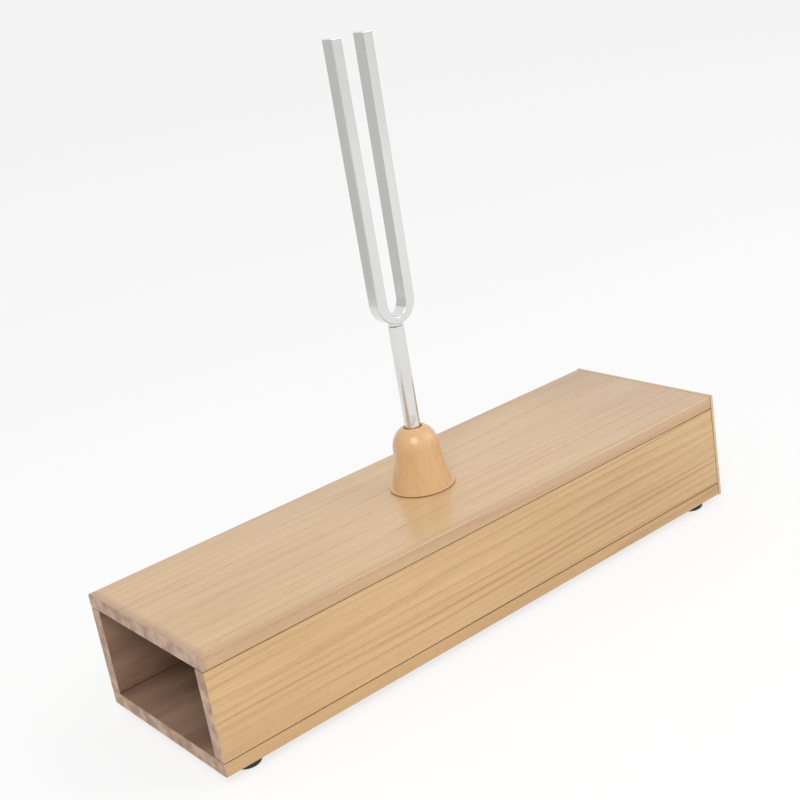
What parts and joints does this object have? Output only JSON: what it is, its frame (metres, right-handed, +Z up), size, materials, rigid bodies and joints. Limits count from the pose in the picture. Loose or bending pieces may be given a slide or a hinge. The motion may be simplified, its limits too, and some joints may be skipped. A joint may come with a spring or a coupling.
{
  "type": "tuning fork with resonator box",
  "caption": "Two-tined metal fork standing in a turned wooden collar on a hollow wooden resonator box, open at one end, on rubber feet.",
  "frame": {"origin": "on the table, under the middle of the box", "axes": "+X along the box from its open end to its closed end, +Y across the box towards the long side not seen in the picture, +Z up along the fork"},
  "size_m": [0.31, 0.093, 0.2685],
  "materials": {
    "varnished_wood": "satin varnish over straight orange-brown grain",
    "pale_wood": "thin pale board, satin varnish",
    "turned_wood": "turned and varnished, semi-gloss",
    "fork_chrome": "bright plating, slightly soft",
    "foot_rubber": "matt black",
    "zinc_steel": "zinc plated"
  },
  "bodies": {
    "box": {"top_board": "varnished_wood", "bottom_board": "varnished_wood", "front_side_board": "varnished_wood", "rear_side_board": "varnished_wood", "end_board": "pale_wood", "collar": "turned_wood", "foot_front_open": "foot_rubber", "foot_front_closed": "foot_rubber", "foot_rear_open": "foot_rubber", "foot_rear_closed": "foot_rubber", "foot_washer_front_open": "zinc_steel", "foot_washer_front_closed": "zinc_steel", "foot_washer_rear_open": "zinc_steel", "foot_washer_rear_closed": "zinc_steel", "foot_screw_front_open": "zinc_steel", "foot_screw_front_closed": "zinc_steel", "foot_screw_rear_open": "zinc_steel", "foot_screw_rear_closed": "zinc_steel"},
    "stem": {"fork_stem": "fork_chrome"},
    "head": {"fork_head": "fork_chrome"}
  },
  "joints": [
    {"name": "fork_lift", "type": "slide", "parent": "box", "child": "stem", "axis": [0, 0, 1], "range_m": [0, 0.035]},
    {"name": "fork_turn", "type": "hinge", "parent": "stem", "child": "head", "pos_m": [0.001, 0.0028, 0.1393], "axis": [0, 0, 1], "continuous": true}
  ]
}
